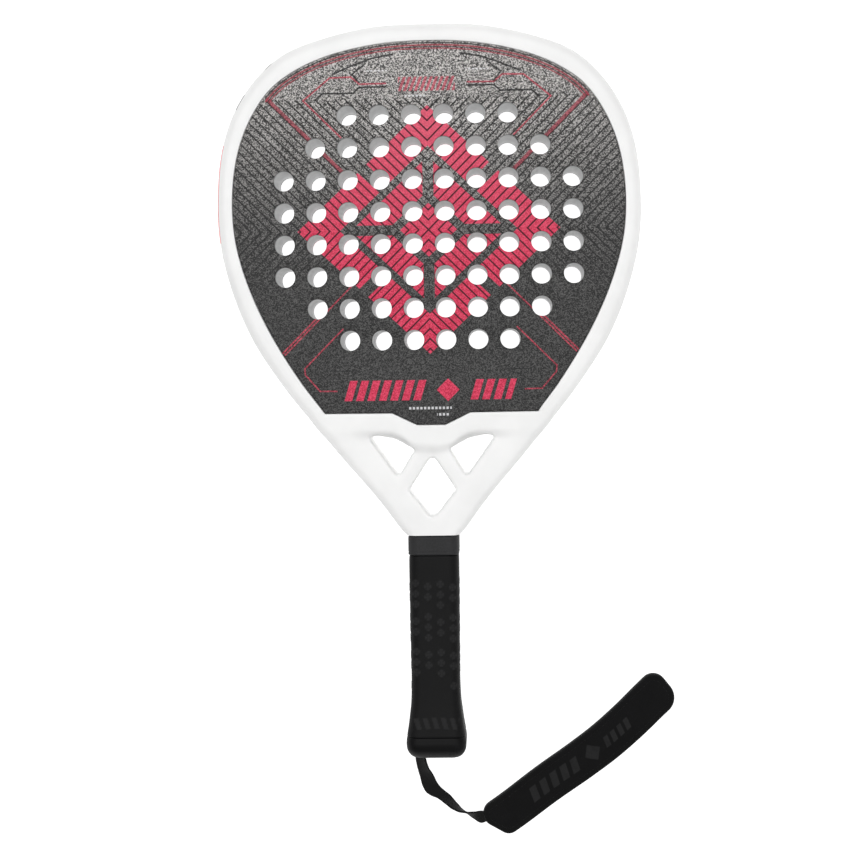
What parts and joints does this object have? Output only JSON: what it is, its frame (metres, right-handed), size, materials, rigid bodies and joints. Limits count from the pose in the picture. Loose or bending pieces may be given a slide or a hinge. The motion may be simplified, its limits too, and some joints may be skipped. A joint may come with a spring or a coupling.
{
  "type": "padel racket",
  "caption": "Teardrop padel racket with perforated faces over a foam core, moulded tube frame with open throat, gripped handle and wrist strap on a cord.",
  "frame": {"origin": "on the supporting surface, under the middle of the racket's length and width, measured without the wrist strap; the racket lies on its rear face", "axes": "+Y from the butt to the head tip, +Z out of the front face, +X to the right seen from the front"},
  "size_m": [0.2816, 0.5091, 0.038],
  "materials": {
    "frame": "white lacquer, satin gloss",
    "face": "rough charcoal laminate with printed red pattern",
    "core": "pale grey foam",
    "shaft": "bare laminate",
    "filler": "foam",
    "collar": "satin rubber",
    "cushion": "foam rubber",
    "grip": "matt embossed grip",
    "cap": "satin moulded",
    "tack": "plain steel",
    "cord": "woven tape",
    "band": "padded knit fabric"
  },
  "bodies": {
    "racket": {"frame_hoop": "frame", "throat_bridge": "frame", "throat_strut_left": "frame", "throat_strut_right": "frame", "eva_core": "core", "front_face": "face", "rear_face": "face", "handle_shaft": "shaft", "handle_filler": "filler", "grip_collar": "collar", "cushion_grip": "cushion", "outer_grip": "grip", "butt_cap": "cap", "cap_tack_left": "tack", "cap_tack_right": "tack", "cord_root": "cord"},
    "strap_cord": {"wrist_cord": "cord"},
    "strap_band": {"wrist_band": "band", "cord_tab": "cord"}
  },
  "joints": [
    {"name": "strap_swing", "type": "hinge", "parent": "racket", "child": "strap_cord", "pos_m": [-0.0109, -0.2292, 0.012], "axis": [0, 0, 1], "range_deg": [-70, 40]},
    {"name": "band_turn", "type": "hinge", "parent": "strap_cord", "child": "strap_band", "pos_m": [0.0285, -0.2697, 0.00395], "axis": [0, 0, 1], "range_deg": [-60, 10]}
  ]
}
